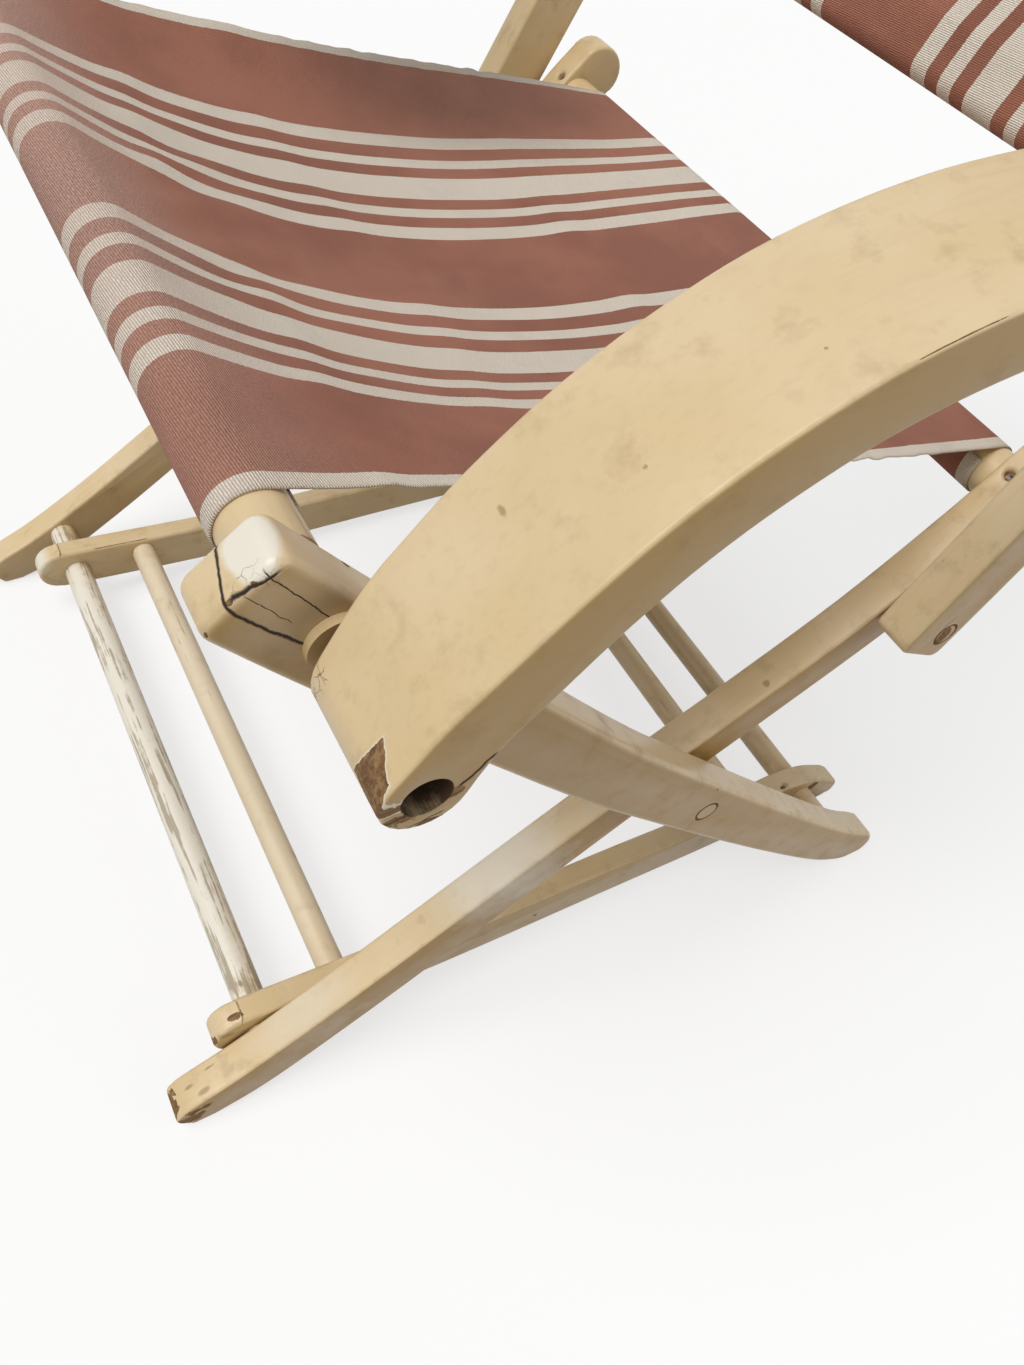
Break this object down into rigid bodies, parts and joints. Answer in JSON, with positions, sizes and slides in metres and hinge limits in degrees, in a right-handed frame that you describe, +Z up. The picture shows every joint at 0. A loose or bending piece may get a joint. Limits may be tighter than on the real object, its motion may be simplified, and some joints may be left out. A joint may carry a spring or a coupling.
{
  "type": "folding armchair",
  "caption": "Folding wooden armchair with crossing legs, arched arms, a low hooked stretcher and a striped canvas seat and back.",
  "frame": {"origin": "on the floor, under the middle of the open chair's bounding box", "axes": "+Z up, +Y from the front feet to the back, +X to the sitter's left; rest pose is open and locked"},
  "size_m": [0.734, 0.7999, 0.8713],
  "materials": {
    "cream_paint": "old cream enamel over wood, crazed and chipped",
    "worn_paint": "cream enamel worn to bare wood in streaks",
    "pin_wood": "end grain showing through thin paint",
    "stripe_canvas": "faded terracotta twill canvas with off-white stripes",
    "old_steel": "dull, lightly rusted"
  },
  "bodies": {
    "main_frame": {"left_main_leg": "cream_paint", "right_main_leg": "cream_paint", "rear_seat_rail": "cream_paint", "rear_rail_nails": "old_steel", "front_tie_dowel": "worn_paint", "seat_canvas": "stripe_canvas"},
    "cross_frame": {"left_cross_leg": "cream_paint", "right_cross_leg": "cream_paint", "front_seat_rail": "cream_paint", "rear_tie_dowel": "cream_paint", "leg_pivot_pins": "pin_wood", "leg_washers": "cream_paint", "arm_screws": "old_steel", "arm_washers": "cream_paint"},
    "back_frame": {"left_back_post": "cream_paint", "right_back_post": "cream_paint", "lower_back_rail": "cream_paint", "upper_back_rail": "cream_paint", "post_pivot_pins": "pin_wood", "post_washers": "cream_paint", "arm_pegs": "cream_paint", "back_canvas": "stripe_canvas"},
    "left_arm_body": {"left_arm": "cream_paint"},
    "right_arm_body": {"right_arm": "cream_paint", "right_arm_plug": "cream_paint"},
    "stretcher": {"left_stretcher_bar": "cream_paint", "right_stretcher_bar": "cream_paint", "stretcher_front_dowel": "cream_paint", "stretcher_rear_dowel": "cream_paint"}
  },
  "joints": [
    {"name": "leg_fold", "type": "hinge", "parent": "main_frame", "child": "cross_frame", "pos_m": [0, -0.0652, 0.2025], "axis": [-1, 0, 0], "range_deg": [0, 74], "deforming": ["seat_canvas"]},
    {"name": "back_fold", "type": "hinge", "parent": "main_frame", "child": "back_frame", "pos_m": [0, 0.0733, 0.2995], "axis": [-1, 0, 0], "range_deg": [0, 8.2]},
    {"name": "left_arm_lift", "type": "hinge", "parent": "cross_frame", "child": "left_arm_body", "pos_m": [0.335, -0.2907, 0.465], "axis": [1, 0, 0], "range_deg": [0, 113.3]},
    {"name": "right_arm_lift", "type": "hinge", "parent": "cross_frame", "child": "right_arm_body", "pos_m": [-0.335, -0.2907, 0.465], "axis": [1, 0, 0], "range_deg": [0, 113.3]},
    {"name": "stretcher_lift", "type": "hinge", "parent": "main_frame", "child": "stretcher", "pos_m": [0, -0.3337, 0.038], "axis": [1, 0, 0], "range_deg": [0, 34.6]}
  ],
  "couplings": [
    {"joint": "back_fold", "follows": "leg_fold", "ratio": 0.11},
    {"joint": "left_arm_lift", "follows": "leg_fold", "ratio": 1.53},
    {"joint": "right_arm_lift", "follows": "leg_fold", "ratio": 1.53},
    {"joint": "stretcher_lift", "follows": "leg_fold", "ratio": 0.467}
  ]
}
